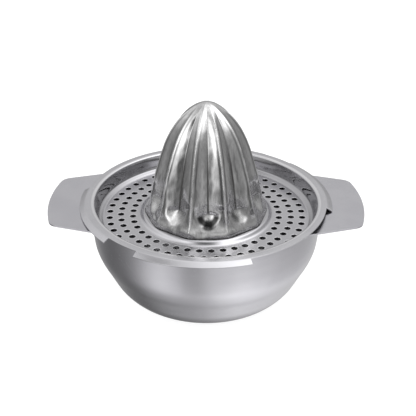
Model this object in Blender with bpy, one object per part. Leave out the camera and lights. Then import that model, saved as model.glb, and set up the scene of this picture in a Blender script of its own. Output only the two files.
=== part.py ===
"""Hand citrus juicer in stainless steel: a deep-drawn bowl with two integral ears,
a drop-in strainer pan with a turned-down skirt in four tabs, and a fluted reamer
fixed to the middle of the pan.

Frame: metres, +Z up. The origin is the middle of the bowl's flat underside.
The ears point along +X and -X. Run: blender --background --python part.py
"""

import math

import bmesh
import bpy
from mathutils import Vector
from mathutils.geometry import delaunay_2d_cdt

MM = 0.001

# ---------------------------------------------------------------- dimensions, mm
GAP = 0.3  # clearance kept between pieces that rest on each other

# bowl
BOWL_T = 0.8  # sheet thickness
RIM_Z = 52.2  # top of the rim and of the ears
RIM_R = 61.0  # outer radius of the upper wall
BEND_R = 1.2  # bend under the ear, measured on the underside
# outside of the drawn wall: (radius, height above the table)
BOWL_WALL = [
    (28.0, 0.0),
    (33.5, 0.25),
    (38.4, 1.2),
    (42.4, 3.1),
    (46.5, 6.2),
    (50.3, 10.8),
    (53.0, 15.9),
    (55.5, 21.0),
    (57.9, 25.8),
    (59.8, 31.2),
    (60.6, 37.0),
    (60.9, 43.5),
    (RIM_R, RIM_Z - BOWL_T - BEND_R),
]
INNER_ROWS = (0, 2, 4, 5, 7, 9, 12)  # rows of the wall repeated on the inside
EAR_REACH = 84.0  # radius of the ears' outer edge
EAR_ROOT_DEG = 33.6  # half angle of an ear's root on the rim
EAR_HALF_TIP = 25.9  # half width of an ear at its outer edge
EAR_CORNER = 3.6  # length of the rounding at an ear's outer corners

# strainer pan
PAN_T = 0.6  # sheet thickness
DISC_Z = 45.4  # top of the perforated floor
TURN_DEG = -40.0  # how far the pan stands turned from its seat between the ears
TAB_DEG = 51.0  # length of each skirt tab
WIDE_CUT_DEG = 61.0  # gaps that drop over the ears when the pan is seated
NARROW_CUT_DEG = 17.0  # gaps between two neighbouring tabs
# upper surface of the pan, outside to inside: (radius, height)
SKIRT = [(67.3, 53.02), (64.75, 54.49)]
PAN = [
    (64.2, 54.7),
    (63.6, 54.75),
    (60.3, 54.75),
    (59.5, 54.4),
    (59.2, 53.7),
    (57.9, 47.6),
    (57.5, 46.85),
    (56.8, 46.4),
    (56.0, 46.0),
    (55.5, 45.62),
    (54.9, DISC_Z),
]
# raised collar round the middle opening, outside to inside
COLLAR = [
    (36.4, DISC_Z),
    (35.5, DISC_Z + 0.25),
    (34.7, DISC_Z + 0.85),
    (34.0, DISC_Z + 1.6),
    (33.4, DISC_Z + 2.05),
    (32.6, DISC_Z + 2.2),
    (29.5, DISC_Z + 2.2),
]
COLLAR_SIDES = 48
HOLE_R = 1.66
HOLE_SIDES = 8
# rings of juice holes: (pitch radius, number of holes, angle of the first, deg)
HOLE_RINGS = [(39.3, 41, 1.8), (45.7, 46, 2.7), (51.75, 47, 2.8)]

# reamer
REAMER_T = 0.6
REAMER_SEAT = DISC_Z + COLLAR[-1][1] - DISC_Z + GAP  # underside of the foot
FLUTES = 10
FLUTE_PHASE_DEG = -87.7  # direction of one flute's middle
CREASE = 0.84  # radius at a flute's crease over radius at the ridges
LOBE = 1.45  # 1 gives flat facets between a crease and a ridge, more rounds them
POCKET_LOW = 6.9  # lower end of a flute, height above the floor
POCKET_TOP = 13.8  # where the flute has its full depth
POCKET_HALF = 0.7  # half width of the pocket a flute ends in, over the flute's
# ridge line: (height above the floor, radius)
RIDGE = [
    (2.5, 33.4),
    (3.6, 33.05),
    (4.8, 32.5),
    (5.9, 31.85),
    (7.2, 31.15),
    (8.8, 30.55),
    (10.9, 30.0),
    (13.4, 29.35),
    (16.1, 28.65),
    (21.6, 27.5),
    (26.9, 26.2),
    (32.3, 24.65),
    (38.0, 22.85),
    (43.4, 20.85),
    (48.7, 18.35),
    (51.4, 16.75),
    (54.0, 14.9),
    (56.5, 12.75),
    (58.6, 10.6),
    (60.3, 8.5),
    (61.8, 6.4),
    (62.9, 4.5),
    (63.7, 2.6),
]
REAMER_TOP = 64.2
REAMER_ROWS = [2.5, 3.6, 4.8, 5.9, 6.9, 7.6, 8.6, 9.9, 11.6, 13.8, 16.2, 20.0, 25.0]
REAMER_ROWS += [30.5, 36.0, 42.0, 47.0, 51.0, 54.5, 57.5, 59.8, 61.6, 62.9, 63.7]
REAMER_INNER_ROWS = [2.5, 6.9, 8.6, 9.9, 11.6, 13.8, 16.2, 25.0, 36.0, 47.0, 54.5]
REAMER_INNER_ROWS += [59.8, 62.9]
FLUTE_STEPS = (-1.0, -0.68, -0.34, 0.0, 0.34, 0.68)

# ---------------------------------------------------------------- materials
STEEL = {
    "bowl_satin_steel": ((0.60, 0.60, 0.62), 0.34),
    "strainer_satin_steel": ((0.66, 0.66, 0.68), 0.30),
    "reamer_polished_steel": ((0.56, 0.56, 0.57), 0.18),
}


def steel(name):
    colour, rough = STEEL[name]
    mat = bpy.data.materials.new(name)
    mat.use_nodes = True
    shader = mat.node_tree.nodes["Principled BSDF"]
    shader.inputs["Base Color"].default_value = (*colour, 1.0)
    shader.inputs["Metallic"].default_value = 1.0
    shader.inputs["Roughness"].default_value = rough
    return mat


# ---------------------------------------------------------------- helpers
def polar(r, deg, z):
    a = math.radians(deg)
    return Vector((r * math.cos(a), r * math.sin(a), z)) * MM


def offset_profile(points, t):
    """Points moved by t to the left of the way the profile runs, mitred."""
    out = []
    n = len(points)
    for i in range(n):
        normals = []
        for a, b in ((i - 1, i), (i, i + 1)):
            if a < 0 or b >= n:
                continue
            d = Vector(points[b]) - Vector(points[a])
            d.normalize()
            normals.append(Vector((-d.y, d.x)))
        m = sum(normals, Vector((0.0, 0.0))).normalized()
        m *= t / m.dot(normals[0])
        out.append((points[i][0] + m.x, points[i][1] + m.y))
    return out


def ring(bm, r, z, angles):
    return [bm.verts.new(polar(r, a, z)) for a in angles]


def strip(bm, low, high, closed=True, flip=False):
    """Quads between two rows of vertices; faces look outwards for rows that run
    anticlockwise with high above low, unless flipped."""
    n = len(low)
    for i in range(n if closed else n - 1):
        j = (i + 1) % n
        quad = [low[i], low[j], high[j], high[i]]
        bm.faces.new(quad[::-1] if flip else quad)


def finish(bm, name, material, sharp_deg=32.0):
    bmesh.ops.recalc_face_normals(bm, faces=bm.faces)
    mesh = bpy.data.meshes.new(name)
    bm.to_mesh(mesh)
    bm.free()
    mesh.shade_smooth()
    mesh.set_sharp_from_angle(angle=math.radians(sharp_deg))
    mesh.materials.append(steel(material))
    obj = bpy.data.objects.new(name, mesh)
    bpy.context.scene.collection.objects.link(obj)
    return obj


# ---------------------------------------------------------------- bowl
def ear_outline():
    """The +X ear's outer edge as points, from its -Y side to its +Y side."""
    root = Vector((62.2 * math.cos(math.radians(EAR_ROOT_DEG)), 0.0))
    root.y = -62.2 * math.sin(math.radians(EAR_ROOT_DEG))
    half = math.asin(EAR_HALF_TIP / EAR_REACH)
    corner = Vector((EAR_REACH * math.cos(half), -EAR_HALF_TIP))
    start = corner + (root - corner).normalized() * EAR_CORNER
    back = half - EAR_CORNER / EAR_REACH
    arc = Vector((math.cos(back), -math.sin(back))) * EAR_REACH
    side = []
    for k in range(5):
        t = k / 4
        side.append(start * (1 - t) ** 2 + corner * 2 * t * (1 - t) + arc * t**2)
    middle = []
    for k in range(1, 8):
        a = -back + 2 * back * k / 8
        middle.append(Vector((math.cos(a), math.sin(a))) * EAR_REACH)
    return side + middle + [Vector((p.x, -p.y)) for p in side[::-1]]


def make_bowl():
    outline = ear_outline()
    length = [0.0]
    for a, b in zip(outline, outline[1:]):
        length.append(length[-1] + (b - a).length)
    # columns round the bowl: (angle, point of the ear's outer edge or None)
    half = []
    for p, s in zip(outline, length):
        half.append((EAR_ROOT_DEG * (2 * s / length[-1] - 1), p))
    free = 180.0 - 2 * EAR_ROOT_DEG
    for k in range(1, 18):
        step = 2.4 if k == 1 else 2.4 + (free - 4.8) * (k - 1) / 16
        step = free - 2.4 if k == 17 else step
        half.append((EAR_ROOT_DEG + step, None))
    columns = half + [(a + 180.0, None if p is None else -p) for a, p in half]
    angles = [a for a, _ in columns]

    bm = bmesh.new()
    inside = offset_profile(BOWL_WALL, BOWL_T)
    inside[0] = (BOWL_WALL[0][0], BOWL_T)
    inside[-1] = (RIM_R - BOWL_T, BOWL_WALL[-1][1])
    outer = [ring(bm, r, z, angles) for r, z in BOWL_WALL]
    inner = [ring(bm, *inside[k], angles) for k in INNER_ROWS]
    bm.faces.new(outer[0])
    bm.faces.new(inner[0])
    for rows in (outer, inner):
        for a, b in zip(rows, rows[1:]):
            strip(bm, a, b)

    # rim: the sheet bends out into an ear, and runs straight up elsewhere
    bend_z = BOWL_WALL[-1][1]
    under, over = [outer[-1]], [inner[-1]]
    for k in range(1, 4):
        a = math.radians(30 * k)
        low, high = [], []
        for deg, tip in columns:
            if tip is None:
                z = bend_z + (RIM_Z - bend_z) * k / 3
                low.append(bm.verts.new(polar(RIM_R, deg, z)))
                high.append(bm.verts.new(polar(RIM_R - BOWL_T, deg, z)))
            else:
                r = RIM_R + BEND_R
                for rows, rad in ((low, BEND_R), (high, BEND_R + BOWL_T)):
                    rows.append(
                        bm.verts.new(
                            polar(
                                r - rad * math.cos(a), deg, bend_z + rad * math.sin(a)
                            )
                        )
                    )
        strip(bm, under[-1], low)
        strip(bm, over[-1], high)
        under.append(low)
        over.append(high)
    low, high = under[-1], over[-1]
    n = len(columns)
    for i in range(n):
        j = (i + 1) % n
        if columns[i][1] is None or columns[j][1] is None:
            bm.faces.new([low[i], low[j], high[j], high[i]])

    # ears: flat plates from the bend to the outer edge
    for first in (0, n // 2):
        cols = range(first, first + len(outline))
        rows_low, rows_high = [[low[i] for i in cols]], [[high[i] for i in cols]]
        for t in (0.5, 1.0):
            for rows, z in ((rows_low, RIM_Z - BOWL_T), (rows_high, RIM_Z)):
                row = []
                for i in cols:
                    root = polar(RIM_R + BEND_R, columns[i][0], z)
                    tip = Vector((columns[i][1].x, columns[i][1].y, z)) * MM
                    tip.z = z * MM
                    row.append(bm.verts.new(root.lerp(tip, t)))
                rows.append(row)
        for rows in (rows_low, rows_high):
            for a, b in zip(rows, rows[1:]):
                strip(bm, a, b, closed=False)
        strip(bm, rows_low[-1], rows_high[-1], closed=False)
        for side in (0, -1):
            strip(
                bm,
                [r[side] for r in rows_low],
                [r[side] for r in rows_high],
                closed=False,
            )
    return finish(bm, "bowl", "bowl_satin_steel")


# ---------------------------------------------------------------- strainer pan
def pan_columns():
    """Angles round the pan, each with True where the skirt has a tab."""
    start = TURN_DEG + WIDE_CUT_DEG / 2
    spans = [(TAB_DEG, 9, True), (NARROW_CUT_DEG, 3, False)]
    spans += [(TAB_DEG, 9, True), (WIDE_CUT_DEG, 11, False)]
    columns, segments = [], []
    at = start
    for _ in range(2):
        for span, parts, tab in spans:
            for k in range(parts):
                columns.append(at + span * k / parts)
                segments.append(tab)
            at += span
    return columns, segments


def make_strainer():
    angles, tabs = pan_columns()
    n = len(angles)
    bm = bmesh.new()
    upper = SKIRT + PAN
    under = offset_profile(upper, PAN_T)
    under[-1] = (under[-1][0], DISC_Z - PAN_T)
    first = len(SKIRT)  # the first row that runs all the way round
    on_tab = [tabs[i] or tabs[i - 1] for i in range(n)]

    def rows_of(profile):
        rows = []
        for k, (r, z) in enumerate(profile):
            row = [
                bm.verts.new(polar(r, a, z)) if k >= first or on_tab[i] else None
                for i, a in enumerate(angles)
            ]
            rows.append(row)
        return rows

    top, low = rows_of(upper), rows_of(under)
    for i in range(n):
        j = (i + 1) % n
        for rows in (top, low):
            for k in range(0 if tabs[i] else first, len(upper) - 1):
                a, b = rows[k], rows[k + 1]
                bm.faces.new([a[i], a[j], b[j], b[i]])
        k = 0 if tabs[i] else first
        bm.faces.new([top[k][i], top[k][j], low[k][j], low[k][i]])
        if tabs[i] != tabs[i - 1]:  # the cut end of a tab
            for k in range(first):
                bm.faces.new([top[k][i], top[k + 1][i], low[k + 1][i], low[k][i]])

    # collar round the middle opening
    ring_angles = [360.0 * k / COLLAR_SIDES for k in range(COLLAR_SIDES)]
    collar_low = offset_profile(COLLAR, PAN_T)
    collar_low[0] = (collar_low[0][0], DISC_Z - PAN_T)
    collar_low[-1] = (COLLAR[-1][0], COLLAR[-1][1] - PAN_T)
    collars = []
    for profile in (COLLAR, collar_low):
        rows = [ring(bm, r, z, ring_angles) for r, z in profile]
        for a, b in zip(rows, rows[1:]):
            strip(bm, a, b)
        collars.append(rows)
    strip(bm, collars[0][-1], collars[1][-1])

    # perforated floor between the wall and the collar
    loops_top = [top[-1], collars[0][0]]
    loops_low = [low[-1], collars[1][0]]
    for radius, count, phase in HOLE_RINGS:
        for h in range(count):
            centre = polar(radius, phase + 360.0 * h / count, 0.0)
            pair = []
            for z in (DISC_Z, DISC_Z - PAN_T):
                loop = []
                for s in range(HOLE_SIDES):
                    p = centre + polar(HOLE_R, 360.0 * (s + 0.5) / HOLE_SIDES, z)
                    loop.append(bm.verts.new(p))
                pair.append(loop)
            loops_top.append(pair[0])
            loops_low.append(pair[1])
            strip(bm, pair[0], pair[1])
    flat_top = [v for loop in loops_top for v in loop]
    flat_low = [v for loop in loops_low for v in loop]
    edges, at = [], 0
    for loop in loops_top:
        m = len(loop)
        edges += [(at + k, at + (k + 1) % m) for k in range(m)]
        at += m
    points = [Vector((v.co.x / MM, v.co.y / MM)) for v in flat_top]
    verts, _, faces, source, _, _ = delaunay_2d_cdt(points, edges, [], 0, 1e-6)
    centres = [
        polar(radius, phase + 360.0 * h / count, 0.0) / MM
        for radius, count, phase in HOLE_RINGS
        for h in range(count)
    ]
    for face in faces:
        mid = sum((verts[i] for i in face), Vector((0.0, 0.0))) / len(face)
        if mid.length < COLLAR[0][0] * math.cos(math.pi / COLLAR_SIDES) - 1e-4:
            continue
        if any((mid - c.to_2d()).length < HOLE_R * 0.9 for c in centres):
            continue
        ids = [source[i][0] for i in face]
        bm.faces.new([flat_top[i] for i in ids])
        bm.faces.new([flat_low[i] for i in ids[::-1]])
    return finish(bm, "strainer", "strainer_satin_steel")


# ---------------------------------------------------------------- reamer
def ridge_radius(h):
    for (h0, r0), (h1, r1) in zip(RIDGE, RIDGE[1:]):
        if h <= h1:
            t = (h - h0) / (h1 - h0)
            return r0 + (r1 - r0) * t
    return RIDGE[-1][1]


def flute_point(h, s):
    """A point of the outside at height h, in a flute's own axes: x out along the
    flute's middle, y across it. s runs from -1 on one ridge to 1 on the next."""
    r = ridge_radius(h)
    half = math.pi / FLUTES
    flat = r * math.cos(half)
    depth = flat - CREASE * r
    share = (1.0 - abs(s)) ** LOBE
    if h < POCKET_TOP:  # the flute ends in a rounded pocket
        q = (POCKET_TOP - h) / (POCKET_TOP - POCKET_LOW)
        pocket = 1.0 - math.hypot(s / POCKET_HALF, q) ** 1.6
        share = max(0.0, share * (1.0 - 1.15 * q), pocket)
    fade = min(1.0, max(0.0, (REAMER_TOP - 0.6 - h) / 6.0))
    return Vector((flat - depth * share * fade, s * r * math.sin(half), h))


def flute_normal(h, s):
    e = 0.05
    up = flute_point(min(h + e, 63.7), s) - flute_point(max(h - e, 3.7), s)
    across = flute_point(h, min(s + e, 1.0)) - flute_point(h, max(s - e, -1.0))
    return across.cross(up).normalized()


def reamer_ring(bm, h, inset):
    verts = []
    for k in range(FLUTES):
        turn = math.radians(FLUTE_PHASE_DEG + 360.0 * k / FLUTES)
        for s in FLUTE_STEPS:
            p = flute_point(h, s)
            if inset:
                n = flute_normal(h, s)
                if s == -1.0:  # on a ridge the two facets mirror each other
                    m = flute_normal(h, 1.0)
                    axis = Vector((math.cos(math.pi / FLUTES), 0.0))
                    axis.y = -math.sin(math.pi / FLUTES)
                    flat = n.x * axis.x + n.y * axis.y
                    n = Vector((axis.x * flat, axis.y * flat, (n.z + m.z) / 2))
                    n.normalize()
                if s == 0.0:
                    n = Vector((n.x, 0.0, n.z)).normalized()
                p = p - n * REAMER_T
                p.z = max(p.z, RIDGE[0][0]) if h > RIDGE[0][0] else h
            x = p.x * math.cos(turn) - p.y * math.sin(turn)
            y = p.x * math.sin(turn) + p.y * math.cos(turn)
            verts.append(bm.verts.new(Vector((x, y, DISC_Z + p.z)) * MM))
    return verts


def make_reamer():
    bm = bmesh.new()
    outer = [reamer_ring(bm, h, False) for h in REAMER_ROWS]
    for a, b in zip(outer, outer[1:]):
        strip(bm, a, b)
    # the foot's underside runs in to the hollow
    inner = []
    for h in REAMER_INNER_ROWS:
        inner.append(reamer_ring(bm, 6.2 if h == 2.5 else h, True))
    for v in inner[0]:
        v.co.z = REAMER_SEAT * MM
    for a, b in zip(inner, inner[1:]):
        strip(bm, a, b)
    strip(bm, outer[0], inner[0])
    for rows, z in ((outer, REAMER_TOP), (inner, REAMER_TOP - REAMER_T)):
        apex = bm.verts.new((0.0, 0.0, (DISC_Z + z) * MM))
        m = len(rows[-1])
        for i in range(m):
            bm.faces.new([rows[-1][i], rows[-1][(i + 1) % m], apex])
    return finish(bm, "reamer", "reamer_polished_steel", 28.0)


# ---------------------------------------------------------------- build
for old in list(bpy.data.objects):
    bpy.data.objects.remove(old, do_unlink=True)

bowl = make_bowl()
strainer = make_strainer()
reamer = make_reamer()

# the pan and the reamer lift off together, straight up the bowl's axis
lift = bpy.data.objects.new("insert_axis", None)
bpy.context.scene.collection.objects.link(lift)
for piece in (strainer, reamer):
    piece.parent = lift
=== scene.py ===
"""Looks of the stainless-steel hand citrus juicer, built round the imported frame.

Metres, +Z up, the same frame as the CAD: the origin is the middle of the bowl's
underside and the ears point along +X and -X. Profiles below are in millimetres.
"""

import math

import bmesh
import bpy
import numpy as np
from mathutils import Matrix, Vector
from mathutils.geometry import delaunay_2d_cdt


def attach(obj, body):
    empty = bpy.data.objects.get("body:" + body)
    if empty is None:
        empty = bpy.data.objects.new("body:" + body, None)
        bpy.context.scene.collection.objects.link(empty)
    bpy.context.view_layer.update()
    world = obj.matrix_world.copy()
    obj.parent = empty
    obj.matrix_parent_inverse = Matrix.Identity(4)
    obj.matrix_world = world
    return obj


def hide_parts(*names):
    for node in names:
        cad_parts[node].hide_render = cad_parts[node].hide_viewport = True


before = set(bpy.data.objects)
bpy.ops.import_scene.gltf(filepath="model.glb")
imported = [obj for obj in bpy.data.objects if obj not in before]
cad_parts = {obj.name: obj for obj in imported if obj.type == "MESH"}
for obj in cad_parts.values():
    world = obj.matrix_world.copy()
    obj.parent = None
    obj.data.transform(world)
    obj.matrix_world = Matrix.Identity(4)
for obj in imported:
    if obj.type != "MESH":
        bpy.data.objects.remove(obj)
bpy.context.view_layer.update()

MM = 0.001
scene = bpy.context.scene

# ------------------------------------------------------------ shared dimensions, mm
BOWL_T = 0.8
RIM_Z = 52.2
RIM_R = 61.0
BEND_R = 1.2
BOWL_WALL = [
    (28.0, 0.0),
    (33.5, 0.25),
    (38.4, 1.2),
    (42.4, 3.1),
    (46.5, 6.2),
    (50.3, 10.8),
    (53.0, 15.9),
    (55.5, 21.0),
    (57.9, 25.8),
    (59.8, 31.2),
    (60.6, 37.0),
    (60.9, 43.5),
    (RIM_R, RIM_Z - BOWL_T - BEND_R),
]
EAR_REACH = 84.0
EAR_ROOT_DEG = 33.6
EAR_HALF_TIP = 25.9
EAR_CORNER = 3.6

PAN_T = 0.6
DISC_Z = 45.4
TURN_DEG = -40.0
TAB_DEG = 51.0
WIDE_CUT_DEG = 61.0
NARROW_CUT_DEG = 17.0
SKIRT = [(67.3, 53.02), (64.75, 54.49)]
PAN = [
    (64.2, 54.7),
    (63.6, 54.75),
    (60.3, 54.75),
    (59.5, 54.4),
    (59.2, 53.7),
    (57.9, 47.6),
    (57.5, 46.85),
    (56.8, 46.4),
    (56.0, 46.0),
    (55.5, 45.62),
    (54.9, DISC_Z),
]
COLLAR = [
    (36.4, DISC_Z),
    (35.5, DISC_Z + 0.25),
    (34.7, DISC_Z + 0.85),
    (34.0, DISC_Z + 1.6),
    (33.4, DISC_Z + 2.05),
    (32.6, DISC_Z + 2.2),
    (29.5, DISC_Z + 2.2),
]
HOLE_R = 1.66
HOLE_SIDES = 20
HOLE_RINGS = [(39.3, 41, 1.8), (45.7, 46, 2.7), (51.75, 47, 2.8)]

REAMER_T = 0.6
REAMER_SEAT = DISC_Z + 2.5
FLUTES = 10
FLUTE_PHASE_DEG = -87.7
CREASE = 0.84
LOBE = 1.45
POCKET_LOW = 6.9
POCKET_TOP = 13.8
POCKET_HALF = 0.7
RIDGE = [
    (2.5, 33.4),
    (3.6, 33.05),
    (4.8, 32.5),
    (5.9, 31.85),
    (7.2, 31.15),
    (8.8, 30.55),
    (10.9, 30.0),
    (13.4, 29.35),
    (16.1, 28.65),
    (21.6, 27.5),
    (26.9, 26.2),
    (32.3, 24.65),
    (38.0, 22.85),
    (43.4, 20.85),
    (48.7, 18.35),
    (51.4, 16.75),
    (54.0, 14.9),
    (56.5, 12.75),
    (58.6, 10.6),
    (60.3, 8.5),
    (61.8, 6.4),
    (62.9, 4.5),
    (63.7, 2.6),
]
REAMER_TOP = 64.2


# ------------------------------------------------------------ helpers
def polar(r, deg, z):
    a = math.radians(deg)
    return Vector((r * math.cos(a), r * math.sin(a), z)) * MM


def smooth_curve(points, step):
    """Centripetal Catmull-Rom curve through the points, a sample every step or less."""
    pts = [Vector(p) for p in points]
    pts = [pts[0] * 2 - pts[1]] + pts + [pts[-1] * 2 - pts[-2]]
    out = []
    for i in range(1, len(pts) - 2):
        p0, p1, p2, p3 = pts[i - 1 : i + 3]
        t0 = 0.0
        t1 = t0 + (p1 - p0).length ** 0.5
        t2 = t1 + (p2 - p1).length ** 0.5
        t3 = t2 + (p3 - p2).length ** 0.5
        n = max(2, math.ceil((p2 - p1).length / step))
        for k in range(n):
            t = t1 + (t2 - t1) * k / n
            a1 = p0 * ((t1 - t) / (t1 - t0)) + p1 * ((t - t0) / (t1 - t0))
            a2 = p1 * ((t2 - t) / (t2 - t1)) + p2 * ((t - t1) / (t2 - t1))
            a3 = p2 * ((t3 - t) / (t3 - t2)) + p3 * ((t - t2) / (t3 - t2))
            b1 = a1 * ((t2 - t) / (t2 - t0)) + a2 * ((t - t0) / (t2 - t0))
            b2 = a2 * ((t3 - t) / (t3 - t1)) + a3 * ((t - t1) / (t3 - t1))
            c = b1 * ((t2 - t) / (t2 - t1)) + b2 * ((t - t1) / (t2 - t1))
            out.append((c.x, c.y))
    out.append((pts[-2].x, pts[-2].y))
    return out


def offset_profile(points, t):
    """Points moved by t to the left of the way the profile runs, mitred."""
    out = []
    n = len(points)
    for i in range(n):
        normals = []
        for a, b in ((i - 1, i), (i, i + 1)):
            if a < 0 or b >= n:
                continue
            d = Vector(points[b]) - Vector(points[a])
            d.normalize()
            normals.append(Vector((-d.y, d.x)))
        m = sum(normals, Vector((0.0, 0.0))).normalized()
        m *= t / m.dot(normals[0])
        out.append((points[i][0] + m.x, points[i][1] + m.y))
    return out


def ring(bm, r, z, angles):
    return [bm.verts.new(polar(r, a, z)) for a in angles]


def strip(bm, low, high, closed=True):
    n = len(low)
    for i in range(n if closed else n - 1):
        j = (i + 1) % n
        bm.faces.new([low[i], low[j], high[j], high[i]])


def finish_mesh(bm, name, sharp_deg):
    bmesh.ops.recalc_face_normals(bm, faces=bm.faces)
    mesh = bpy.data.meshes.new(name)
    bm.to_mesh(mesh)
    bm.free()
    mesh.shade_smooth()
    mesh.set_sharp_from_angle(angle=math.radians(sharp_deg))
    obj = bpy.data.objects.new(name, mesh)
    scene.collection.objects.link(obj)
    return obj


def soften_edges(obj, width_mm, angle_deg, segments=2):
    """A small radius on the sheet's cut edges."""
    mod = obj.modifiers.new("edge_radius", "BEVEL")
    mod.width = width_mm * MM
    mod.segments = segments
    mod.limit_method = "ANGLE"
    mod.angle_limit = math.radians(angle_deg)
    mod.use_clamp_overlap = True
    mod.harden_normals = False
    mod.miter_outer = "MITER_ARC"
    return mod


def smoothstep(t):
    t = min(1.0, max(0.0, t))
    return t * t * (3.0 - 2.0 * t)


# ------------------------------------------------------------ bowl
def ear_outline():
    """The +X ear's outer edge as points, from its -Y side to its +Y side."""
    root = Vector((62.2 * math.cos(math.radians(EAR_ROOT_DEG)), 0.0))
    root.y = -62.2 * math.sin(math.radians(EAR_ROOT_DEG))
    half = math.asin(EAR_HALF_TIP / EAR_REACH)
    corner = Vector((EAR_REACH * math.cos(half), -EAR_HALF_TIP))
    start = corner + (root - corner).normalized() * EAR_CORNER
    back = half - EAR_CORNER / EAR_REACH
    arc = Vector((math.cos(back), -math.sin(back))) * EAR_REACH
    side = []
    for k in range(13):
        t = k / 12
        side.append(start * (1 - t) ** 2 + corner * 2 * t * (1 - t) + arc * t**2)
    middle = []
    for k in range(1, 28):
        a = -back + 2 * back * k / 28
        middle.append(Vector((math.cos(a), math.sin(a))) * EAR_REACH)
    return side + middle + [Vector((p.x, -p.y)) for p in side[::-1]]


def make_bowl():
    outline = ear_outline()
    length = [0.0]
    for a, b in zip(outline, outline[1:]):
        length.append(length[-1] + (b - a).length)
    flare = 2.4  # degrees over which the rim turns out into an ear
    steps = 6
    half = []  # columns: (angle, share of the bend, point of the ear's outer edge)
    for k in range(1, steps):
        half.append((-EAR_ROOT_DEG - flare * (1 - k / steps), smoothstep(k / steps), None))
    for p, s in zip(outline, length):
        half.append((EAR_ROOT_DEG * (2 * s / length[-1] - 1), 1.0, p))
    for k in range(1, steps):
        half.append((EAR_ROOT_DEG + flare * k / steps, smoothstep(1 - k / steps), None))
    free = 180.0 - 2 * (EAR_ROOT_DEG + flare)
    for k in range(0, 73):
        half.append((EAR_ROOT_DEG + flare + free * k / 72, 0.0, None))
    columns = half + [(a + 180.0, s, None if p is None else -p) for a, s, p in half]
    angles = [a for a, _, _ in columns]

    bm = bmesh.new()
    wall = smooth_curve(BOWL_WALL, 1.3)
    inside = offset_profile(wall, BOWL_T)
    inside[0] = (wall[0][0], BOWL_T)
    inside[-1] = (RIM_R - BOWL_T, wall[-1][1])
    outer = [ring(bm, r, z, angles) for r, z in wall]
    inner = [ring(bm, r, z, angles) for r, z in inside]
    for rows, z in ((outer, 0.0), (inner, BOWL_T)):
        for r in (20.0, 10.0):
            rows.insert(0, ring(bm, r, z, angles))
        mid = bm.verts.new((0.0, 0.0, z * MM))
        first = rows[0]
        for i in range(len(first)):
            bm.faces.new([first[i], first[(i + 1) % len(first)], mid])
        for a, b in zip(rows, rows[1:]):
            strip(bm, a, b)

    bend_z = wall[-1][1]
    under, over = [outer[-1]], [inner[-1]]
    turns = 8
    for k in range(1, turns + 1):
        a = math.radians(90.0 * k / turns)
        low, high = [], []
        z_up = bend_z + (RIM_Z - bend_z) * k / turns
        for deg, share, _ in columns:
            for rows, rad, r_up in (
                (low, BEND_R, RIM_R),
                (high, BEND_R + BOWL_T, RIM_R - BOWL_T),
            ):
                r_out = RIM_R + BEND_R - rad * math.cos(a)
                z_out = bend_z + rad * math.sin(a)
                r = r_up + (r_out - r_up) * share
                z = z_up + (z_out - z_up) * share
                rows.append(bm.verts.new(polar(r, deg, z)))
        strip(bm, under[-1], low)
        strip(bm, over[-1], high)
        under.append(low)
        over.append(high)
    low, high = under[-1], over[-1]
    n = len(columns)
    for i in range(n):
        j = (i + 1) % n
        if columns[i][2] is None or columns[j][2] is None:
            bm.faces.new([low[i], low[j], high[j], high[i]])

    # ears
    for first in range(n):
        if columns[first][2] is None or columns[first - 1][2] is not None:
            continue
        cols = range(first, first + len(outline))
        rows_low, rows_high = [[low[i] for i in cols]], [[high[i] for i in cols]]
        for t in [k / 12 for k in range(1, 13)]:
            for rows, z in ((rows_low, RIM_Z - BOWL_T), (rows_high, RIM_Z)):
                row = []
                for i in cols:
                    root = polar(RIM_R + BEND_R, columns[i][0], z)
                    tip = Vector((columns[i][2].x * MM, columns[i][2].y * MM, z * MM))
                    row.append(bm.verts.new(root.lerp(tip, t)))
                rows.append(row)
        for rows in (rows_low, rows_high):
            for a, b in zip(rows, rows[1:]):
                strip(bm, a, b, closed=False)
        strip(bm, rows_low[-1], rows_high[-1], closed=False)
        for side in (0, -1):
            strip(
                bm,
                [r[side] for r in rows_low],
                [r[side] for r in rows_high],
                closed=False,
            )
    obj = finish_mesh(bm, "drawn_bowl", 40.0)
    soften_edges(obj, 0.2, 50.0)
    return obj


# ------------------------------------------------------------ strainer pan
def pan_columns():
    start = TURN_DEG + WIDE_CUT_DEG / 2
    spans = [(TAB_DEG, 60, True), (NARROW_CUT_DEG, 18, False)]
    spans += [(TAB_DEG, 60, True), (WIDE_CUT_DEG, 66, False)]
    columns, segments = [], []
    at = start
    for _ in range(2):
        for span, parts, tab in spans:
            for k in range(parts):
                columns.append(at + span * k / parts)
                segments.append(tab)
            at += span
    return columns, segments


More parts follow.
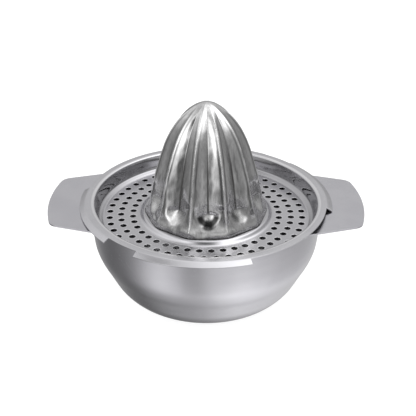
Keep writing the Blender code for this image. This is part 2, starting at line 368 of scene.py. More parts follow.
def make_strainer():
    angles, tabs = pan_columns()
    n = len(angles)
    bm = bmesh.new()
    curve = smooth_curve(SKIRT + PAN, 0.55)
    joint = min(range(len(curve)), key=lambda i: (Vector(curve[i]) - Vector(PAN[0])).length)
    upper = curve[:-1] + [PAN[-1], (PAN[-1][0] - 0.35, DISC_Z)]
    under = offset_profile(upper, PAN_T)
    under[-2] = (under[-2][0], DISC_Z - PAN_T)
    under[-1] = (upper[-1][0], DISC_Z - PAN_T)
    on_tab = [tabs[i] or tabs[i - 1] for i in range(n)]
    first = joint

    def rows_of(profile):
        return [
            [
                bm.verts.new(polar(r, a, z)) if k >= first or on_tab[i] else None
                for i, a in enumerate(angles)
            ]
            for k, (r, z) in enumerate(profile)
        ]

    top, low = rows_of(upper), rows_of(under)
    for i in range(n):
        j = (i + 1) % n
        for rows in (top, low):
            for k in range(0 if tabs[i] else first, len(upper) - 1):
                a, b = rows[k], rows[k + 1]
                bm.faces.new([a[i], a[j], b[j], b[i]])
        k = 0 if tabs[i] else first
        bm.faces.new([top[k][i], top[k][j], low[k][j], low[k][i]])
        if tabs[i] != tabs[i - 1]:
            for k in range(first):
                bm.faces.new([top[k][i], top[k + 1][i], low[k + 1][i], low[k][i]])

    sides = 240
    ring_angles = [360.0 * k / sides for k in range(sides)]
    collar = [(COLLAR[0][0] + 0.35, DISC_Z)] + smooth_curve(COLLAR, 0.4)
    collar_low = offset_profile(collar, PAN_T)
    collar_low[0] = (collar[0][0], DISC_Z - PAN_T)
    collar_low[1] = (collar_low[1][0], DISC_Z - PAN_T)
    collar_low[-1] = (collar[-1][0], collar[-1][1] - PAN_T)
    collars = []
    for profile in (collar, collar_low):
        rows = [ring(bm, r, z, ring_angles) for r, z in profile]
        for a, b in zip(rows, rows[1:]):
            strip(bm, a, b)
        collars.append(rows)
    strip(bm, collars[0][-1], collars[1][-1])

    # the punched floor between the wall and the collar
    loops_top = [top[-1], collars[0][0]]
    loops_low = [low[-1], collars[1][0]]
    for radius, count, phase in HOLE_RINGS:
        for h in range(count):
            centre = polar(radius, phase + 360.0 * h / count, 0.0)
            pair = []
            for z in (DISC_Z, DISC_Z - PAN_T):
                loop = []
                for s in range(HOLE_SIDES):
                    p = centre + polar(HOLE_R, 360.0 * (s + 0.5) / HOLE_SIDES, z)
                    loop.append(bm.verts.new(p))
                pair.append(loop)
            loops_top.append(pair[0])
            loops_low.append(pair[1])
            strip(bm, pair[0], pair[1])
    flat_top = [v for loop in loops_top for v in loop]
    flat_low = [v for loop in loops_low for v in loop]
    edges, at = [], 0
    for loop in loops_top:
        m = len(loop)
        edges += [(at + k, at + (k + 1) % m) for k in range(m)]
        at += m
    points = [Vector((v.co.x / MM, v.co.y / MM)) for v in flat_top]
    verts, _, faces, source, _, _ = delaunay_2d_cdt(points, edges, [], 0, 1e-6)
    centres = np.array(
        [
            list(polar(radius, phase + 360.0 * h / count, 0.0).to_2d() / MM)
            for radius, count, phase in HOLE_RINGS
            for h in range(count)
        ]
    )
    inner_limit = collar[0][0] * math.cos(math.pi / sides) - 1e-4
    for face in faces:
        mid = sum((verts[i] for i in face), Vector((0.0, 0.0))) / len(face)
        if mid.length < inner_limit:
            continue
        gaps = np.hypot(centres[:, 0] - mid.x, centres[:, 1] - mid.y)
        if gaps.min() < HOLE_R * 0.97:
            continue
        ids = [source[i][0] for i in face]
        bm.faces.new([flat_top[i] for i in ids])
        bm.faces.new([flat_low[i] for i in ids[::-1]])
    obj = finish_mesh(bm, "strainer_pan", 40.0)
    soften_edges(obj, 0.13, 60.0)
    return obj


# ------------------------------------------------------------ reamer
def flute_share(h, s):
    """How far a flute is cut in, 0 to 1, at height h; s is an array from -1 to 1. The
    lobes between two creases are convex, and the flute ends in a round pocket."""
    share = (1.0 - np.abs(s)) ** LOBE
    if h < POCKET_TOP:
        q = (POCKET_TOP - h) / (POCKET_TOP - POCKET_LOW)
        pocket = np.maximum(0.0, 1.0 - np.hypot(s / (1.08 * POCKET_HALF), q / 1.08) ** 2) ** 1.3
        share = np.maximum(0.0, np.maximum(share * (1.0 - 1.15 * q), pocket))
    fade = min(1.0, max(0.0, (REAMER_TOP - 0.6 - h) / 6.0))
    return share * fade


def blur_rows(field, sigma, wrap):
    """Gaussian blur of a 2-D field along its second axis."""
    reach = max(1, math.ceil(3 * sigma))
    k = np.exp(-0.5 * (np.arange(-reach, reach + 1) / max(sigma, 1e-6)) ** 2)
    k /= k.sum()
    mode = "wrap" if wrap else "edge"
    wide = np.pad(field, ((0, 0), (reach, reach)), mode=mode)
    out = np.zeros_like(field)
    for i, w in enumerate(k):
        out += w * wide[:, i : i + field.shape[1]]
    return out


def soft_noise(shape, sigma_rows, sigma_cols, seed):
    """Smooth random field that joins up round the axis, with a spread of 1."""
    field = np.random.default_rng(seed).standard_normal(shape)
    field = blur_rows(field, sigma_cols, True)
    field = blur_rows(field.T, sigma_rows, False).T
    return field / field.std()


FLUTE_FINE = 96  # samples across a flute before the columns are picked
# columns from a ridge (0) to the crease (1), closest together at the ridge's bead
HALF_FLUTE = [0.0, 0.02, 0.042, 0.066, 0.094, 0.13, 0.18, 0.25, 0.34, 0.44]
HALF_FLUTE += [0.54, 0.64, 0.73, 0.81, 0.87, 0.915, 0.95, 0.976]
BEAD_HEIGHT = 0.20  # the rounded line along each ridge, mm
BEAD_HALF = 0.42
DENT = 0.14  # the waviness pressing leaves in the thin sheet, mm


def reamer_field(step):
    """Ridge curve samples, the columns' angles, and for each point the radius over
    the ridge's."""
    curve = smooth_curve([(r, h) for h, r in RIDGE] + [(0.0, REAMER_TOP)], step)[:-1]
    half = math.pi / FLUTES
    a = (np.arange(FLUTE_FINE) + 0.5) / FLUTE_FINE * 2.0 - 1.0  # across one flute
    ang = a * half
    s = np.tan(ang) / math.tan(half)
    flat = math.cos(half)
    rows = [(flat - (flat - CREASE) * flute_share(h, s)) / np.cos(ang) for r, h in curve]
    field = np.tile(np.array(rows), (1, FLUTES))
    degree = FLUTE_FINE * FLUTES / 360.0
    crisp = blur_rows(field, degree * 0.85, True)
    soft = blur_rows(field, degree * 3.6, True)
    foot = np.array([smoothstep((6.6 - h) / 4.1) for r, h in curve])[:, None]
    field = crisp * (1.0 - foot) + soft * foot
    field = blur_rows(field.T, 0.5 / step, False).T
    radius = np.array([r for r, h in curve])[:, None]
    height = np.array([h for r, h in curve])[:, None]
    # a rounded bead along the ridges, dying out at the tip and into the foot
    off = np.tile((1.0 - np.abs(a)) * half, FLUTES)[None] * radius
    fade = np.clip((radius - 9.0) / 12.0, 0.0, 1.0) * np.clip((height - 3.5) / 3.0, 0.0, 1.0)
    field = field + fade * BEAD_HEIGHT * (
        np.exp(-((off / BEAD_HALF) ** 2)) - 0.35 * np.exp(-((off / (2.6 * BEAD_HALF)) ** 2))
    ) / np.maximum(radius, 1.0)
    # shallow dents, deeper low down where the sheet was drawn most
    wide = soft_noise(field.shape, 4.6 / step, degree * 3.9, 11)
    small = soft_noise(field.shape, 1.6 / step, degree * 2.4, 23)
    low = 0.35 + 0.65 * np.clip((34.0 - height) / 22.0, 0.0, 1.0)
    low = low * np.clip(radius / 16.0, 0.0, 1.0) * np.clip((height - 2.5) / 3.0, 0.0, 1.0)
    field = field + DENT * low * (wide + 0.55 * small) / np.maximum(radius, 1.0)
    offsets = HALF_FLUTE + [1.0] + [2.0 - t for t in HALF_FLUTE[:0:-1]]
    where = np.array([k + t / 2.0 for k in range(FLUTES) for t in offsets])
    columns = where * 2.0 * half
    where = (where * FLUTE_FINE - 0.5) % (FLUTE_FINE * FLUTES)
    lo = np.floor(where).astype(int)
    t = where - lo
    lo %= FLUTE_FINE * FLUTES
    field = field[:, lo] * (1 - t) + field[:, (lo + 1) % (FLUTE_FINE * FLUTES)] * t
    return curve, columns, field


def make_reamer():
    bm = bmesh.new()
    curve, columns, field = reamer_field(0.5)
    n = len(columns)
    ang = math.radians(FLUTE_PHASE_DEG) - math.pi / FLUTES + columns
    grid = np.zeros((len(curve), n, 3))
    for k, (r, h) in enumerate(curve):
        grid[k, :, 0] = r * field[k] * np.cos(ang)
        grid[k, :, 1] = r * field[k] * np.sin(ang)
        grid[k, :, 2] = DISC_Z + h
    # inside: the outside moved in by the sheet's thickness
    along = np.gradient(grid, axis=0)
    around = np.roll(grid, -1, axis=1) - np.roll(grid, 1, axis=1)
    normal = np.cross(around, along)
    normal /= np.linalg.norm(normal, axis=2, keepdims=True)
    foot = next(k for k, (r, h) in enumerate(curve) if h >= 6.2)
    inner = (grid[foot:] - normal[foot:] * REAMER_T)[::2, ::2]

    def rows_from(block):
        return [[bm.verts.new(Vector(p) * MM) for p in row] for row in block]

    outer_rows = rows_from(grid)
    for a, b in zip(outer_rows, outer_rows[1:]):
        strip(bm, a, b)
    base = inner[0].copy()
    base[:, 2] = REAMER_SEAT
    inner_rows = rows_from(np.concatenate([base[None], inner[1:]]))
    for a, b in zip(inner_rows, inner_rows[1:]):
        strip(bm, a, b)
    # underside of the foot
    wide, slim = outer_rows[0], inner_rows[0]
    m = len(slim)
    for i in range(m):
        j = (i + 1) % m
        bm.faces.new([wide[2 * i], wide[(2 * i + 1) % n], slim[i]])
        bm.faces.new([wide[(2 * i + 1) % n], wide[(2 * i + 2) % n], slim[j], slim[i]])
    for rows, z in ((outer_rows, REAMER_TOP), (inner_rows, REAMER_TOP - REAMER_T)):
        apex = bm.verts.new((0.0, 0.0, (DISC_Z + z) * MM))
        m = len(rows[-1])
        for i in range(m):
            bm.faces.new([rows[-1][i], rows[-1][(i + 1) % m], apex])
    return finish_mesh(bm, "fluted_reamer", 50.0)


# ------------------------------------------------------------ materials
class Nodes:
    """Small helper that wires one material's or world's nodes."""

    def __init__(self, tree):
        self.tree = tree

    def add(self, kind, **settings):
        node = self.tree.nodes.new(kind)
        inputs = settings.pop("inputs", {})
        for key, value in settings.items():
            setattr(node, key, value)
        for key, value in inputs.items():
            self.set(node.inputs[key], value)
        return node

    def set(self, socket, value):
        if isinstance(value, bpy.types.NodeSocket):
            self.tree.links.new(value, socket)
        else:
            socket.default_value = value

    def math(self, op, a, b=None, clamp=False):
        node = self.add("ShaderNodeMath", operation=op, use_clamp=clamp)
        self.set(node.inputs[0], a)
        if b is not None:
            self.set(node.inputs[1], b)
        return node.outputs[0]

    def ramp(self, value, a, b, lo, hi, smooth=True):
        node = self.add(
            "ShaderNodeMapRange",
            interpolation_type="SMOOTHSTEP" if smooth else "LINEAR",
        )
        for key, v in (
            ("Value", value),
            ("From Min", a),
            ("From Max", b),
            ("To Min", lo),
            ("To Max", hi),
        ):
            self.set(node.inputs[key], v)
        return node.outputs["Result"]

    def noise(self, vector, scale, detail=2.0, rough=0.5, distortion=0.0):
        node = self.add("ShaderNodeTexNoise")
        self.set(node.inputs["Vector"], vector)
        self.set(node.inputs["Scale"], scale)
        self.set(node.inputs["Detail"], detail)
        self.set(node.inputs["Roughness"], rough)
        self.set(node.inputs["Distortion"], distortion)
        return node.outputs["Fac"]

    def stretch(self, vector, scale):
        node = self.add("ShaderNodeVectorMath", operation="MULTIPLY")
        self.set(node.inputs[0], vector)
        self.set(node.inputs[1], scale)
        return node.outputs[0]

    def mix(self, fac, a, b):
        node = self.add("ShaderNodeMix", data_type="RGBA")
        self.set(node.inputs["Factor"], fac)
        self.set(node.inputs["A"], (*a, 1.0) if isinstance(a, tuple) else a)
        self.set(node.inputs["B"], (*b, 1.0) if isinstance(b, tuple) else b)
        return node.outputs["Result"]


def spun_coordinates(n, grain):
    """Coordinates in which noise makes rings round the axis: fine along the
    profile, long around it. Returns (rings, object coordinates, (x, y, z, radius))."""
    coords = n.add("ShaderNodeTexCoord").outputs["Object"]
    xyz = n.add("ShaderNodeSeparateXYZ")
    n.set(xyz.inputs[0], coords)
    x, y, z = xyz.outputs
    r = n.math("SQRT", n.math("ADD", n.math("MULTIPLY", x, x), n.math("MULTIPLY", y, y)))
    profile = n.math("ADD", n.math("MULTIPLY", r, grain), n.math("MULTIPLY", z, grain * 1.07))
    combine = n.add("ShaderNodeCombineXYZ")
    n.set(combine.inputs[0], n.math("MULTIPLY", x, 22.0))
    n.set(combine.inputs[1], n.math("MULTIPLY", y, 22.0))
    n.set(combine.inputs[2], profile)
    return combine.outputs[0], coords, (x, y, z, r)


def steel(name, colour_a, colour_b, rough, rough_vary, grain, grain_height, wave_height,
          wave_scale, anisotropy, zones=None):
    """Stainless steel with a fine spun grain, a cloudy colour, faint scratches and the
    slow waviness of drawn sheet. zones(n, x, y, z, r, shader values) may change it."""
    mat = bpy.data.materials.new(name)
    mat.use_nodes = True
    tree = mat.node_tree
    n = Nodes(tree)
    shader = tree.nodes["Principled BSDF"]
    shader.inputs["Metallic"].default_value = 1.0
    shader.inputs["Anisotropic"].default_value = anisotropy
    rings, coords, (x, y, z, radius) = spun_coordinates(n, grain)
    fine = n.noise(rings, 1.0, 4.0, 0.62)
    broad = n.noise(rings, 0.12, 2.0, 0.5)
    cloud = n.noise(coords, 55.0, 3.0, 0.55)
    # hairline scratches in two directions, only where a patchy mask lets them show
    patches = n.ramp(n.noise(coords, 130.0, 1.0, 0.5), 0.52, 0.66, 0.0, 1.0)
    lines = []
    for scale in ((6000.0, 260.0, 900.0), (420.0, 5200.0, 1500.0)):
        hair = n.noise(n.stretch(coords, scale), 1.0, 1.0, 0.4, 0.3)
        lines.append(n.ramp(hair, 0.70, 0.78, 0.0, 1.0))
    scratch = n.math("MULTIPLY", n.math("MAXIMUM", *lines), patches)
    colour = n.mix(n.ramp(cloud, 0.32, 0.68, 0.0, 1.0), colour_a, colour_b)
    r = n.math("ADD", n.ramp(fine, 0.3, 0.7, -rough_vary, rough_vary), rough)
    r = n.math("ADD", r, n.ramp(cloud, 0.3, 0.7, -rough_vary * 0.8, rough_vary * 0.8))
    r = n.math("ADD", r, n.math("MULTIPLY", scratch, 0.10))
    wave = n.noise(coords, wave_scale, 1.0, 0.4)
    grain_size, wave_size = grain_height, wave_height
    if zones is not None:
        colour, r, grain_size, wave_size = zones(
            n, (x, y, z, radius, coords), colour, r, grain_height, wave_height
        )
    n.set(shader.inputs["Base Color"], colour)
    n.set(shader.inputs["Roughness"], r)
    bump = n.add("ShaderNodeBump")
    n.set(bump.inputs["Strength"], 1.0)
    n.set(bump.inputs["Distance"], grain_size)
    ridges = n.math("ADD", fine, n.math("MULTIPLY", broad, 0.8))
    n.set(bump.inputs["Height"], n.math("SUBTRACT", ridges, n.math("MULTIPLY", scratch, 0.6)))
    bump2 = n.add("ShaderNodeBump")
    n.set(bump2.inputs["Strength"], 1.0)
    n.set(bump2.inputs["Distance"], wave_size)
    n.set(bump2.inputs["Height"], wave)
    n.set(bump2.inputs["Normal"], bump.outputs[0])
    n.set(shader.inputs["Normal"], bump2.outputs[0])
    if anisotropy > 0.0:
        shader.inputs["Anisotropic Rotation"].default_value = 0.25
        tangent = n.add("ShaderNodeTangent", direction_type="RADIAL", axis="Z")
        n.set(shader.inputs["Tangent"], tangent.outputs[0])
    return mat


def bowl_zones(n, at, colour, rough, grain, wave):
    """The bowl's inside is left duller (rougher) than its outside, and its colour is darkened as painted shade."""
    x, y, z, r, coords = at
    # the outside follows z = outer wall; the inside lies a sheet's thickness within it
    wall = n.add("ShaderNodeFloatCurve")
    curve = wall.mapping.curves[0]
    points = [(z_, r_) for r_, z_ in BOWL_WALL[1:]]
    while len(curve.points) < len(points) + 1:
        curve.points.new(0.5, 0.5)
    for point, (z_, r_) in zip(curve.points, [(0.0, 28.0)] + points):
        point.location = (z_ / 60.0, (r_ - 0.4) / 70.0)
    wall.mapping.update()
    n.set(wall.inputs["Value"], n.math("MULTIPLY", z, 1000.0 / 60.0))
    edge = n.math("MULTIPLY", wall.outputs[0], 70.0 * MM)
    inside = n.math("LESS_THAN", r, edge)
    inside = n.math("MULTIPLY", inside, n.math("GREATER_THAN", z, 0.4 * MM))
    inside = n.math("MULTIPLY", inside, n.math("LESS_THAN", z, (RIM_Z - 0.2) * MM))
    # painted shade: the inside's colour is darkened so it shows dark through the holes
    colour = n.mix(n.math("MULTIPLY", inside, 0.75), colour, (0.24, 0.24, 0.25))
    rough = n.math("ADD", rough, n.math("MULTIPLY", inside, 0.10))
    return colour, rough, grain, wave


def pan_zones(n, at, colour, rough, grain, wave):
    """The pan's wall is polished drawn sheet, smoother and wavier than the brushed floor and flange, its colour
    darkened as painted shade.
    Painted shade also darkens the ledge, the seam and the holes' punched walls; painted highlights brighten the
    flange's inner bend and round each hole."""
    x, y, z, r, coords = at
    low = n.ramp(z, (DISC_Z + 1.0) * MM, (DISC_Z + 1.7) * MM, 0.0, 1.0)
    high = n.ramp(z, 53.4 * MM, 54.3 * MM, 1.0, 0.0)
    out = n.math("MULTIPLY", n.ramp(r, 56.0 * MM, 56.8 * MM, 0.0, 1.0), n.ramp(r, 59.6 * MM, 60.2 * MM, 1.0, 0.0))
    wall = n.math("MULTIPLY", n.math("MULTIPLY", low, high), out)
    rough = n.math("SUBTRACT", rough, n.math("MULTIPLY", wall, 0.15))
    wave = n.math("ADD", n.math("MULTIPLY", wall, 0.00042), wave)
    # painted shade: the wall's colour is darkened
    colour = n.mix(n.math("MULTIPLY", wall, 0.8), colour, (0.33, 0.328, 0.34))
    # painted shade: the ledge between the floor and the wall is darkened
    ledge_shade = n.math("MULTIPLY", n.ramp(r, 54.9 * MM, 55.6 * MM, 0.0, 0.45), n.ramp(r, 57.6 * MM, 58.0 * MM, 1.0, 0.0))
    colour = n.mix(ledge_shade, colour, (0.34, 0.338, 0.35))
    floor_part = n.math("MULTIPLY", n.ramp(z, (DISC_Z + 0.1) * MM, (DISC_Z + 0.3) * MM, 1.0, 0.0), 0.22)
    colour = n.mix(floor_part, colour, (0.36, 0.358, 0.375))
    # painted shade: a dark line in the seam round the reamer's foot
    seam_shade = n.math("MULTIPLY", n.ramp(r, 33.1 * MM, 33.7 * MM, 0.25, 0.0),
                  n.ramp(z, (DISC_Z + 1.0) * MM, (DISC_Z + 1.6) * MM, 0.0, 1.0))
    colour = n.mix(seam_shade, colour, (0.12, 0.118, 0.115))
    # painted highlight along the flange's inner bend
    bend_highlight = n.math("MULTIPLY", n.ramp(r, 59.4 * MM, 59.9 * MM, 0.0, 0.6), n.ramp(r, 60.8 * MM, 61.4 * MM, 1.0, 0.0))
    bend_highlight = n.math("MULTIPLY", bend_highlight, n.ramp(z, 54.0 * MM, 54.5 * MM, 0.0, 1.0))
    colour = n.mix(bend_highlight, colour, (0.92, 0.915, 0.93))
    # painted highlight: a brighter rim round each hole
    turn = n.math("ARCTAN2", y, x)
    hole_rim_highlight = None
    for ring_r, count, phase in HOLE_RINGS:
        step = 2.0 * math.pi / count
        along = n.math("DIVIDE", n.math("SUBTRACT", turn, math.radians(phase)), step)
        along = n.math("SUBTRACT", n.math("FRACT", n.math("ADD", along, 60.5)), 0.5)
        along = n.math("MULTIPLY", along, step * ring_r * MM)
        across = n.math("SUBTRACT", r, ring_r * MM)
        d = n.math("ADD", n.math("MULTIPLY", along, along), n.math("MULTIPLY", across, across))
        near = n.ramp(n.math("SQRT", d), (HOLE_R + 0.15) * MM, (HOLE_R + 0.80) * MM, 0.50, 0.0)
        hole_rim_highlight = near if hole_rim_highlight is None else n.math("MAXIMUM", hole_rim_highlight, near)
    colour = n.mix(hole_rim_highlight, colour, (0.86, 0.855, 0.88))
    # painted shade: the holes' punched walls are darkened nearly to black
    punched = n.math(
        "MULTIPLY",
        n.math("LESS_THAN", z, (DISC_Z - 0.14) * MM),
        n.math("GREATER_THAN", z, (DISC_Z - PAN_T + 0.02) * MM),
    )
    colour = n.mix(n.math("MULTIPLY", punched, 0.95), colour, (0.06, 0.06, 0.065))
    return colour, rough, grain, wave


def reamer_zones(n, at, colour, rough, grain, wave):
    """Painted highlights along the ridges; painted shade in the creases, beside the ridges, low in the front pockets
    and at the foot's seam.
    """
    x, y, z, r, coords = at
    # upright streaks from polishing
    streak = n.noise(n.stretch(coords, (1300.0, 1300.0, 40.0)), 1.0, 2.0, 0.5)
    colour = n.mix(n.ramp(streak, 0.35, 0.60, 0.22, 0.0), colour, (0.30, 0.30, 0.30))
    stain = n.noise(n.stretch(coords, (330.0, 330.0, 75.0)), 1.0, 2.0, 0.5)
    stain = n.math("MULTIPLY", n.ramp(stain, 0.50, 0.68, 0.0, 1.0),
                   n.ramp(z, (DISC_Z + 22.0) * MM, (DISC_Z + 40.0) * MM, 0.42, 0.0))
    colour = n.mix(stain, colour, (0.22, 0.22, 0.22))
    rough = n.math("ADD", rough, n.ramp(streak, 0.35, 0.65, -0.02, 0.04))
    turn = n.math("ARCTAN2", y, x)
    flute = n.math("MULTIPLY", n.math("SUBTRACT", turn, math.radians(FLUTE_PHASE_DEG)), FLUTES / (2 * math.pi))
    flute = n.math("ADD", flute, 20.0)
    off = n.math("ABSOLUTE", n.math("SUBTRACT", n.math("FRACT", flute), 0.5))
    spacing = n.math("MULTIPLY", r, 2 * math.pi / FLUTES)
    to_ridge = n.math("MULTIPLY", off, spacing)
    to_crease = n.math("MULTIPLY", n.math("SUBTRACT", 0.5, off), spacing)
    body = n.math("MULTIPLY", n.ramp(r, 6.0 * MM, 14.0 * MM, 0.0, 1.0), 1.0)
    # painted highlight: a mask along each ridge
    ridge = n.math("MULTIPLY", n.ramp(to_ridge, 0.34 * MM, 0.74 * MM, 1.0, 0.0), body)
    ridge = n.math("MULTIPLY", ridge, n.ramp(z, (DISC_Z + 4.0) * MM, (DISC_Z + 9.0) * MM, 0.0, 1.0))
    # painted shade: the creases are darkened
    crease = n.math("MULTIPLY", n.ramp(to_crease, 0.22 * MM, 0.75 * MM, 1.0, 0.0), body)
    crease = n.math("MULTIPLY", crease, n.ramp(z, (DISC_Z + 12.0) * MM, (DISC_Z + 14.0) * MM, 0.0, 1.0))
    crease = n.math("MULTIPLY", crease, n.ramp(z, (DISC_Z + 30.0) * MM, (DISC_Z + 50.0) * MM, 0.88, 0.30))
    colour = n.mix(crease, colour, (0.12, 0.118, 0.115))
    # painted shade: a dark line beside each ridge's bead
    ridge_side_shade = n.math("MULTIPLY", n.ramp(to_ridge, 0.75 * MM, 1.05 * MM, 0.0, 1.0),
                    n.ramp(to_ridge, 1.25 * MM, 2.0 * MM, 1.0, 0.0))
    ridge_side_shade = n.math("MULTIPLY", n.math("MULTIPLY", ridge_side_shade, body),
                    n.ramp(z, (DISC_Z + 8.0) * MM, (DISC_Z + 14.0) * MM, 0.0, 0.62))
    colour = n.mix(ridge_side_shade, colour, (0.20, 0.20, 0.20))
    # the painted ridge highlight is broken into patches by noise
    ridge_highlight_patches = n.ramp(n.noise(coords, 150.0, 1.0, 0.5), 0.36, 0.60, 0.45, 1.0)
    ridge = n.math("MULTIPLY", ridge, ridge_highlight_patches)
    colour = n.mix(n.math("MULTIPLY", ridge, 0.97), colour, (0.98, 0.978, 0.98))
    rough = n.math("ADD", rough, n.math("MULTIPLY", ridge, 0.26))
    # painted shade: a dark arc low in the front pockets, and a softer polish in all of them
    across = n.math("DIVIDE", n.math("SUBTRACT", 0.5, off), 0.5 * POCKET_HALF)
    rise = n.ramp(z, (DISC_Z + POCKET_LOW) * MM, (DISC_Z + POCKET_TOP) * MM, 1.0, 0.0, smooth=False)
    rho = n.math("ADD", n.math("MULTIPLY", across, across), n.math("MULTIPLY", rise, rise))
    rho = n.math("SQRT", rho)
    pocket_shade = n.math("MULTIPLY", n.ramp(rho, 0.44, 0.66, 0.0, 1.0), n.ramp(rho, 0.84, 1.06, 1.0, 0.0))
    front = n.math("MULTIPLY", n.ramp(x, -13.0 * MM, -7.0 * MM, 0.0, 1.0), n.ramp(y, -20.0 * MM, -12.0 * MM, 1.0, 0.0))
    pocket_shade = n.math("MULTIPLY", pocket_shade, n.math("MULTIPLY", front, n.ramp(x, 5.0 * MM, 12.0 * MM, 1.0, 0.5)))
    softer = n.ramp(z, (DISC_Z + 13.0) * MM, (DISC_Z + 30.0) * MM, 0.09, 0.0)
    softer = n.math("MULTIPLY", softer, n.ramp(rho, 0.75, 1.0, 1.0, 0.0))
    rough = n.math("ADD", rough, softer)
    pocket_shade = n.math("MULTIPLY", pocket_shade, n.ramp(rise, 0.05, 0.30, 0.0, 1.0))
    colour = n.mix(n.math("MULTIPLY", pocket_shade, 0.97), colour, (0.035, 0.035, 0.035))
    foot = n.ramp(z, (DISC_Z + 6.0) * MM, (DISC_Z + 26.0) * MM, 0.07, 0.0)
    rough = n.math("ADD", rough, foot)
    # painted shade: a dark line where the reamer's foot meets the collar
    seam_shade = n.ramp(z, (REAMER_SEAT + 0.2) * MM, (REAMER_SEAT + 0.9) * MM, 0.55, 0.0)
    colour = n.mix(seam_shade, colour, (0.10, 0.098, 0.096))
    return colour, rough, grain, wave


bowl_steel = steel("bowl_satin", (0.593, 0.587, 0.622), (0.63, 0.624, 0.656), 0.215, 0.014,
                   2600.0, 0.0000009, 0.00005, 30.0, 0.7, bowl_zones)
pan_steel = steel("pan_satin", (0.60, 0.595, 0.622), (0.64, 0.635, 0.66), 0.23, 0.025,
                  2600.0, 0.0000012, 0.00004, 75.0, 0.35, pan_zones)
reamer_steel = steel("reamer_polish", (0.65, 0.648, 0.65), (0.75, 0.748, 0.75), 0.09, 0.025,
                     1800.0, 0.000001, 0.00018, 95.0, 0.0, reamer_zones)

bowl = make_bowl()
pan = make_strainer()
reamer = make_reamer()
for obj, mat, body, node, slot in (
    (bowl, bowl_steel, "bowl_body", "bowl", "bowl_satin_steel"),
    (pan, pan_steel, "insert", "strainer", "strainer_satin_steel"),
    (reamer, reamer_steel, "insert", "reamer", "reamer_polished_steel"),
):
    obj.data.materials.append(mat)
    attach(obj, body)
    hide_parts(node)

# ------------------------------------------------------------ stage
def plane(name, size, z):
    bm = bmesh.new()
    bmesh.ops.create_grid(bm, x_segments=1, y_segments=1, size=size)
    mesh = bpy.data.meshes.new(name)
    bm.to_mesh(mesh)
    bm.free()
    obj = bpy.data.objects.new(name, mesh)
    obj.location.z = z
    scene.collection.objects.link(obj)
    return obj


floor = plane("studio_floor", 8.0, -0.0001)
mat = bpy.data.materials.new("pale_floor")
mat.use_nodes = True
shader = mat.node_tree.nodes["Principled BSDF"]
shader.inputs["Base Color"].default_value = (0.42, 0.42, 0.42, 1.0)
shader.inputs["Roughness"].default_value = 0.9
shader.inputs["Specular IOR Level"].default_value = 0.0
shader.inputs["Emission Color"].default_value = (1.0, 1.0, 1.0, 1.0)
shader.inputs["Emission Strength"].default_value = 0.84
floor.data.materials.append(mat)
floor.visible_glossy = False

# a plain white backdrop all round, far off and out of the way of the light
bm = bmesh.new()
bmesh.ops.create_cone(bm, cap_ends=False, segments=96, radius1=4.0, radius2=4.0, depth=6.0)
mesh = bpy.data.meshes.new("studio_backdrop")
bm.to_mesh(mesh)
bm.free()
backdrop = bpy.data.objects.new("studio_backdrop", mesh)
backdrop.location.z = 2.99
scene.collection.objects.link(backdrop)
mat = bpy.data.materials.new("white_backdrop")
mat.use_nodes = True
shader = mat.node_tree.nodes["Principled BSDF"]
shader.inputs["Base Color"].default_value = (0.0, 0.0, 0.0, 1.0)
shader.inputs["Specular IOR Level"].default_value = 0.0
shader.inputs["Emission Color"].default_value = (1.0, 1.0, 1.0, 1.0)
shader.inputs["Emission Strength"].default_value = 1.0
backdrop.data.materials.append(mat)
backdrop.visible_glossy = False
backdrop.visible_diffuse = False
backdrop.visible_shadow = False

# ------------------------------------------------------------ light
# A soft studio as the steel sees it: a pale wall behind, a large soft box overhead
# to the right, a tall strip and a box in front, darker sides, and a light table.
# Directions are (azimuth, elevation) in degrees; azimuth 0 is +Y, 90 is +X.
world = bpy.data.worlds.new("studio")
scene.world = world
world.use_nodes = True
w = Nodes(world.node_tree)
background = world.node_tree.nodes["Background"]
direction = w.add("ShaderNodeTexCoord").outputs["Generated"]


def dot(vector):
    node = w.add("ShaderNodeVectorMath", operation="DOT_PRODUCT")
    w.set(node.inputs[0], direction)
    w.set(node.inputs[1], vector)
    return node.outputs["Value"]


def soft_box(az, el, half_az, half_el, power=2):
    """1 in the middle of a soft patch of the studio, falling to 0 round it."""
    a, e = math.radians(az), math.radians(el)
    middle = (math.sin(a) * math.cos(e), math.cos(a) * math.cos(e), math.sin(e))
    right = (math.cos(a), -math.sin(a), 0.0)
    up = (-math.sin(a) * math.sin(e), -math.cos(a) * math.sin(e), math.cos(e))
    total = None
    for axis, half in ((right, half_az), (up, half_el)):
        q = w.math("DIVIDE", dot(axis), math.sin(math.radians(half)))
        q = w.math("MULTIPLY", q, q)
        if power == 4:
            q = w.math("MULTIPLY", q, q)
        total = q if total is None else w.math("ADD", total, q)
    value = w.math("EXPONENT", w.math("MULTIPLY", total, -1.0))
    return w.math("MULTIPLY", value, w.ramp(dot(middle), 0.0, 0.2, 0.0, 1.0))


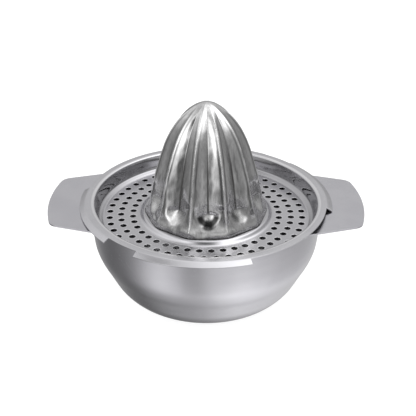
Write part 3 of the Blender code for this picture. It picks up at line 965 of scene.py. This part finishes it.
height = w.add("ShaderNodeSeparateXYZ")
w.set(height.inputs[0], direction)
ramp = w.add("ShaderNodeValToRGB")
w.set(ramp.inputs[0], w.ramp(height.outputs[2], -1.0, 1.0, 0.0, 1.0, smooth=False))
stops = [(-1.0, 0.46), (-0.8, 0.60), (-0.58, 0.57), (-0.38, 0.32), (-0.2, 0.20),
         (0.0, 0.245), (0.2, 0.32), (0.42, 0.38), (0.65, 0.44), (0.85, 0.44), (1.0, 0.60)]
elements = ramp.color_ramp.elements
elements[0].position, elements[1].position = 0.0, 1.0
for z, v in stops[1:-1]:
    elements.new((z + 1.0) / 2.0)
for element, (z, v) in zip(elements, stops):
    element.color = (v, v, v, 1.0)
ramp.color_ramp.interpolation = "B_SPLINE"
level = ramp.outputs["Color"]
LIGHTS = [  # azimuth, elevation, half widths, power, strength
    (-26, 28, 44, 40, 2, 0.16),
    (-44, 22, 18, 14, 2, 0.08),
    (15, 64, 30, 14, 2, 0.30),
    (100, 74, 45, 24, 2, 1.00),
    (108, 58, 44, 13, 4, 0.80),
    (133, 42, 17, 12, 4, 0.55),
    (-146, 36, 14, 28, 4, 0.40),
    (-146, 24, 10, 24, 4, 1.10),
    (-124, 41, 9, 8, 4, 0.25),
    (-155, 63, 12, 8, 2, 0.50),
    (-164, 23, 10, 7, 2, 0.35),
    (-99, 46, 24, 18, 2, 0.62),
    (-65, 28, 30, 22, 2, 0.20),
    (-141, -5, 5, 12, 2, 0.34),
    (132, -7, 6, 9, 2, 0.22),
    (-88, -9, 6, 9, 2, 0.12),
    (76, -9, 8, 9, 2, 0.10),
    (90, -66, 62, 22, 2, 0.82),
    (-128, -38, 20, 16, 2, 0.54),
    (-125, -61, 22, 12, 2, 0.12),
    (168, -59, 28, 10, 2, 0.20),
    (135, -36, 38, 14, 2, 0.16),
]
SHADES = [  # azimuth, elevation, half widths, power, share taken off
    (-68, -35, 32, 20, 2, 0.62),
    (-42, -56, 40, 16, 2, 0.52),
    (2, -66, 32, 26, 2, 0.55),
    (-172, -42, 14, 24, 2, 0.20),
    (-167, -40, 10, 26, 4, 0.17),
    (160, -40, 14, 14, 2, 0.16),
    (180, 54, 17, 19, 4, 0.90),
    (-86, 69, 18, 7, 2, 0.55),
    (-171, 8, 9, 12, 2, 0.25),
    (-115, 8, 22, 12, 2, 0.20),
    (-162, 2, 5, 14, 2, 0.50),
    (152, -1, 5, 12, 2, 0.50),
]
for az, el, ha, he, power, strength in LIGHTS:
    level = w.math("ADD", level, w.math("MULTIPLY", soft_box(az, el, ha, he, power), strength))
for az, el, ha, he, power, share in SHADES:
    gone = w.math("MULTIPLY", soft_box(az, el, ha, he, power), -share)
    level = w.math("MULTIPLY", level, w.math("ADD", gone, 1.0))
w.set(background.inputs["Color"], level)
background.inputs["Strength"].default_value = 1.0

# ------------------------------------------------------------ camera
cam_data = bpy.data.cameras.new("camera")
cam = bpy.data.objects.new("camera", cam_data)
scene.collection.objects.link(cam)
cam_data.sensor_width = 36.0
cam_data.lens = 883.0 / 416.0 * 36.0
cam_data.clip_start = 0.01
elevation = math.radians(29.25)
target = Vector((0.0, 0.0, 0.0454))
away = Vector((0.0, -math.cos(elevation), math.sin(elevation)))
cam.location = target + away * 0.477
look = (-away).to_track_quat("-Z", "Y").to_matrix().to_4x4()
roll = Matrix.Rotation(math.radians(0.35), 4, "Z")
cam.matrix_world = Matrix.Translation(cam.location) @ look @ roll
cam_data.shift_x = 0.0048
cam_data.shift_y = 0.0110
scene.camera = cam
scene.view_settings.view_transform = "Standard"
